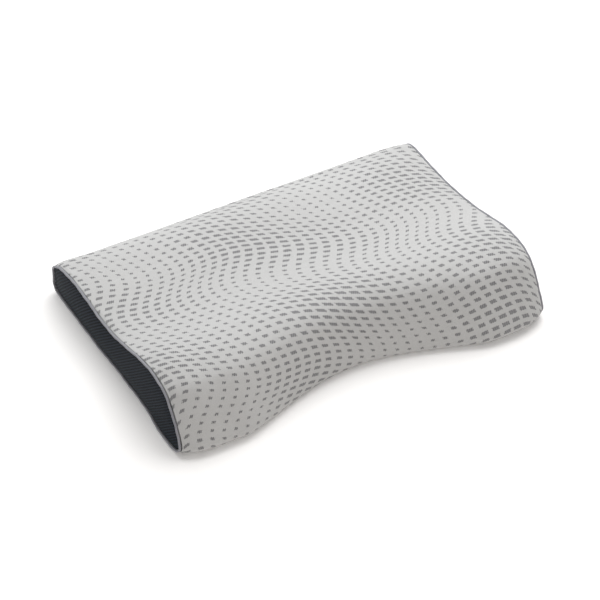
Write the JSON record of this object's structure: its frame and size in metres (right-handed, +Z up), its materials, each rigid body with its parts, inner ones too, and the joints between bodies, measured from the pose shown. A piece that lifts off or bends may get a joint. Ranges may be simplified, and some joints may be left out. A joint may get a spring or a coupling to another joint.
{
  "type": "contour bed pillow",
  "caption": "Contoured foam bed pillow with a tall neck roll, a shoulder recess, mesh end gussets with piped seams, and a removable zipped knit cover.",
  "frame": {"origin": "centre of the base, under the middle of the bounding box", "axes": "+X along the pillow, -Y towards the neck side with the tall roll and the shoulder recess, +Y towards the low side with the zip, +Z up from the face that lies on the bed"},
  "size_m": [0.5996, 0.4228, 0.102],
  "materials": {
    "knit_cover": "matt pale grey jacquard knit with grey woven dashes",
    "mesh_gusset": "dark charcoal ribbed spacer mesh",
    "piping": "matt grey woven tape",
    "piping_cord": "undyed twisted cotton",
    "liner": "thin white jersey",
    "foam": "cream moulded open-cell foam",
    "zip_tape": "grey woven tape",
    "zip_coil": "satin nylon",
    "zip_metal": "bright nickel plate",
    "thread": "matt grey polyester thread"
  },
  "bodies": {
    "pillow": {"foam_core": "foam", "inner_liner": "liner", "wrap_panel": "knit_cover", "gusset_left": "mesh_gusset", "gusset_right": "mesh_gusset", "piping_strip_left": "piping", "piping_strip_right": "piping", "piping_cord_left": "piping_cord", "piping_cord_right": "piping_cord", "bar_tack_left": "thread", "bar_tack_right": "thread", "zip_tape_upper": "zip_tape", "zip_tape_lower": "zip_tape", "zip_coil_upper": "zip_coil", "zip_coil_lower": "zip_coil", "zip_top_stop_upper": "zip_metal", "zip_top_stop_lower": "zip_metal", "zip_bottom_stop": "zip_metal"},
    "slider": {"zip_slider": "zip_metal"},
    "pull": {"zip_pull": "zip_metal"}
  },
  "joints": [
    {"name": "zip_slide", "type": "slide", "parent": "pillow", "child": "slider", "axis": [-1, 0, 0], "range_m": [0, 0.46], "deforming": ["zip_coil_upper", "zip_coil_lower"]},
    {"name": "pull_swing", "type": "hinge", "parent": "slider", "child": "pull", "pos_m": [0.23, 0.2097, 0.026], "axis": [0, 0, -1], "range_deg": [0, 175]}
  ]
}
